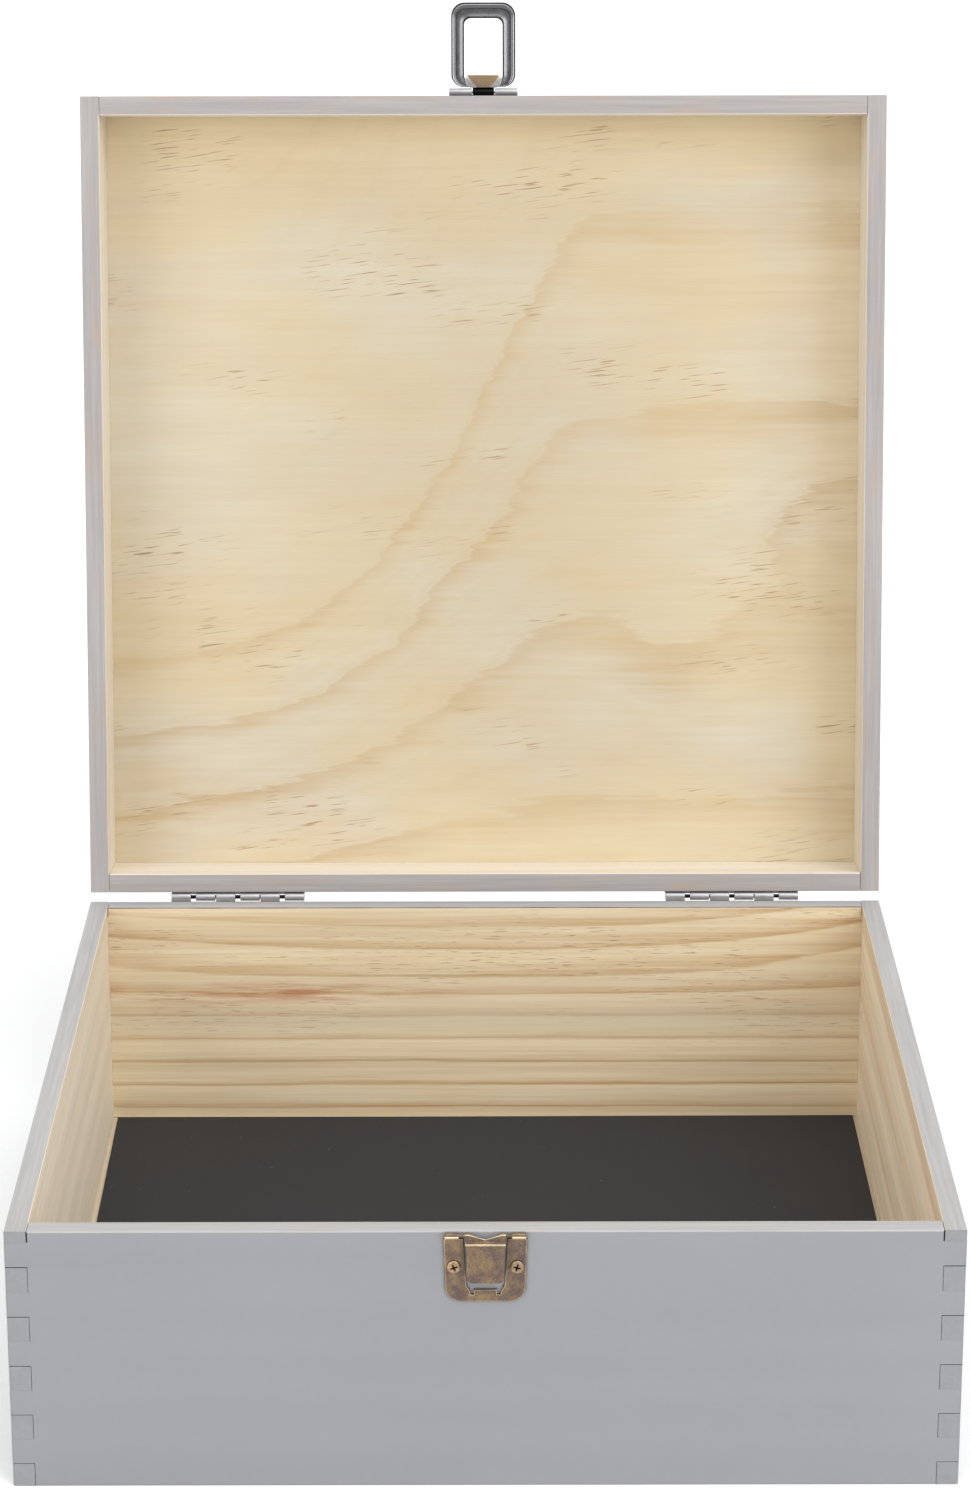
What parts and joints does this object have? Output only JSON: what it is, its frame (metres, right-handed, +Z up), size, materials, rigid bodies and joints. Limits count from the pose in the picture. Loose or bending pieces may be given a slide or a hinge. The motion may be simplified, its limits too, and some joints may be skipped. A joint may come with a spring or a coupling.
{
  "type": "wooden toy box",
  "caption": "Square finger-jointed wooden box painted grey outside, with a hinged lid that leans back open and a metal loop catch at the front.",
  "frame": {"origin": "middle of the body's underside, on the surface the box stands on", "axes": "+Z up, -Y out of the front with the catch, +X to the right seen from the front"},
  "size_m": [0.3, 0.3942, 0.4174],
  "materials": {
    "painted_wood": "satin grey paint outside and on the rims, bare pale pine inside",
    "bare_wood": "bare, sanded",
    "floor_board": "smooth matt black facing",
    "hinge_nickel": "nickel-plated, satin",
    "loop_nickel": "dark nickel, polished",
    "aged_brass": "antique, worn bright along the edges"
  },
  "bodies": {
    "box": {"body_front": "painted_wood", "body_back": "painted_wood", "body_left": "painted_wood", "body_right": "painted_wood", "base_panel": "bare_wood", "floor_board": "floor_board", "catch_plate": "aged_brass", "catch_pin": "aged_brass", "catch_screw_left": "aged_brass", "catch_screw_right": "aged_brass", "hinge_left_body_leaf": "hinge_nickel", "hinge_left_pin": "hinge_nickel", "hinge_left_body_screw_outer": "hinge_nickel", "hinge_left_body_screw_inner": "hinge_nickel", "hinge_right_body_leaf": "hinge_nickel", "hinge_right_pin": "hinge_nickel", "hinge_right_body_screw_outer": "hinge_nickel", "hinge_right_body_screw_inner": "hinge_nickel"},
    "lid": {"lid_front": "painted_wood", "lid_back": "painted_wood", "lid_left": "painted_wood", "lid_right": "painted_wood", "lid_panel": "painted_wood", "loop_plate": "hinge_nickel", "loop_pin": "hinge_nickel", "loop_screw_left": "aged_brass", "loop_screw_right": "aged_brass", "hinge_left_lid_leaf": "hinge_nickel", "hinge_left_lid_screw_outer": "hinge_nickel", "hinge_left_lid_screw_inner": "hinge_nickel", "hinge_right_lid_leaf": "hinge_nickel", "hinge_right_lid_screw_outer": "hinge_nickel", "hinge_right_lid_screw_inner": "hinge_nickel"},
    "loop": {"latch_loop": "loop_nickel", "loop_leaf": "aged_brass"},
    "tongue": {"latch_tongue": "aged_brass"}
  },
  "joints": [
    {"name": "lid_hinge", "type": "hinge", "parent": "box", "child": "lid", "pos_m": [0, 0.1516, 0.0894], "axis": [1, 0, 0], "range_deg": [0, 100.8]},
    {"name": "loop_swing", "type": "hinge", "parent": "lid", "child": "loop", "pos_m": [0, 0.21917, 0.38492], "axis": [1, 0, 0], "range_deg": [0, 90]},
    {"name": "tongue_lift", "type": "hinge", "parent": "box", "child": "tongue", "pos_m": [0, -0.15095, 0.0871], "axis": [1, 0, 0], "range_deg": [-75, 0]}
  ]
}
